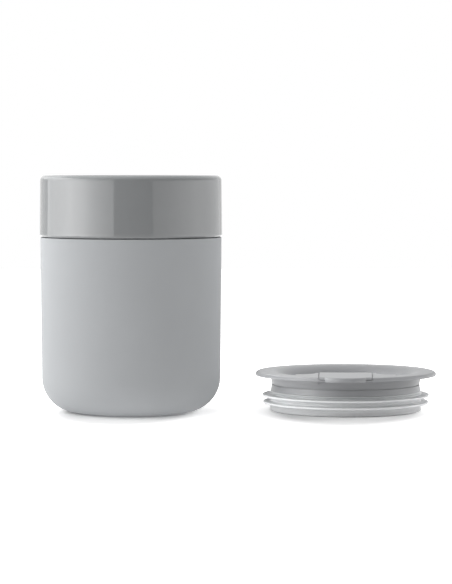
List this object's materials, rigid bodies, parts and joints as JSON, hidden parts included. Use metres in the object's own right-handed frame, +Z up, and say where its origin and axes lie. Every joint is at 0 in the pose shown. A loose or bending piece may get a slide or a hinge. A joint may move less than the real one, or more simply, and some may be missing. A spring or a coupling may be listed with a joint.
{
  "type": "ceramic tumbler",
  "caption": "Glazed ceramic travel tumbler in a silicone sleeve, with its push-in sip lid standing beside it; the lid lifts and its flap swings open.",
  "frame": {"origin": "centre of the cup's foot, on the table", "axes": "+Z up along the cup's axis, +X from the cup towards the lid standing beside it, -Y the way the lid's thumb tab points"},
  "size_m": [0.1828, 0.0939, 0.1088],
  "materials": {
    "grey_glaze": "glossy glaze",
    "grey_silicone": "soft matte silicone",
    "grey_plastic": "satin moulded polypropylene",
    "pale_silicone": "translucent silicone"
  },
  "bodies": {
    "cup": {"ceramic_cup": "grey_glaze", "silicone_sleeve": "grey_silicone"},
    "lid": {"lid_body": "grey_plastic", "lid_gasket": "pale_silicone"},
    "flap": {"sip_flap": "grey_plastic", "sip_seal": "pale_silicone"}
  },
  "joints": [
    {"name": "lid_lift", "type": "slide", "parent": "cup", "child": "lid", "axis": [0, 0, 1], "range_m": [0, 0.125]},
    {"name": "flap_hinge", "type": "hinge", "parent": "lid", "child": "flap", "pos_m": [0.0989, -0.0032, 0.0157], "axis": [-1, 0, 0], "range_deg": [0, 175]}
  ]
}
